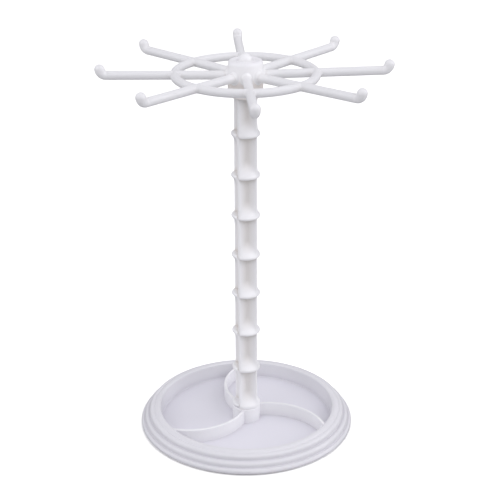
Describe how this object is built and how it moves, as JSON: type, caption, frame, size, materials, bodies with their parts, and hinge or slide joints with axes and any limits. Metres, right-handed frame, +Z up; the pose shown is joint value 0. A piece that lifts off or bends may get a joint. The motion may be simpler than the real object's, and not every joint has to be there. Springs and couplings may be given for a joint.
{
  "type": "revolving hook stand",
  "caption": "Free-standing hook stand: round tray base with swirl dividers, stacked fluted stem, and a revolving crown of upturned hook arms tied by a ring.",
  "frame": {"origin": "on the table under the stem axis, in the plane the skirt stands on", "axes": "+Z up along the stem, -Y towards the side the stand is seen from, +X to the right"},
  "size_m": [0.2166, 0.2166, 0.3012],
  "materials": {
    "white_plastic": "semi-gloss moulded white plastic",
    "tray_plastic": "semi-gloss moulded white plastic",
    "zinc_steel": "bright zinc-plated steel",
    "brass_bush": "turned, satin",
    "nylon": "natural nylon, matt"
  },
  "bodies": {
    "stand": {"base_tray": "tray_plastic", "stem_socket": "tray_plastic", "tray_divider_1": "tray_plastic", "tray_divider_2": "tray_plastic", "tray_divider_3": "tray_plastic", "stem_segment_1": "white_plastic", "stem_segment_2": "white_plastic", "stem_segment_3": "white_plastic", "stem_segment_4": "white_plastic", "stem_segment_5": "white_plastic", "stem_segment_6": "white_plastic", "stem_segment_7": "white_plastic", "stem_segment_8": "white_plastic", "tie_rod": "zinc_steel", "base_nut": "zinc_steel", "base_washer": "zinc_steel", "pivot_sleeve": "brass_bush", "thrust_washer": "nylon", "dome_cap": "white_plastic"},
    "crown": {"crown_hub": "white_plastic", "crown_ring": "white_plastic", "hook_arm_1": "white_plastic", "hook_arm_2": "white_plastic", "hook_arm_3": "white_plastic", "hook_arm_4": "white_plastic", "hook_arm_5": "white_plastic", "hook_arm_6": "white_plastic", "hook_arm_7": "white_plastic", "hook_arm_8": "white_plastic", "hook_tip_1": "white_plastic", "hook_tip_2": "white_plastic", "hook_tip_3": "white_plastic", "hook_tip_4": "white_plastic", "hook_tip_5": "white_plastic", "hook_tip_6": "white_plastic", "hook_tip_7": "white_plastic", "hook_tip_8": "white_plastic"}
  },
  "joints": [
    {"name": "crown_spin", "type": "hinge", "parent": "stand", "child": "crown", "pos_m": [0, 0, 0.2862], "axis": [0, 0, 1], "continuous": true}
  ]
}
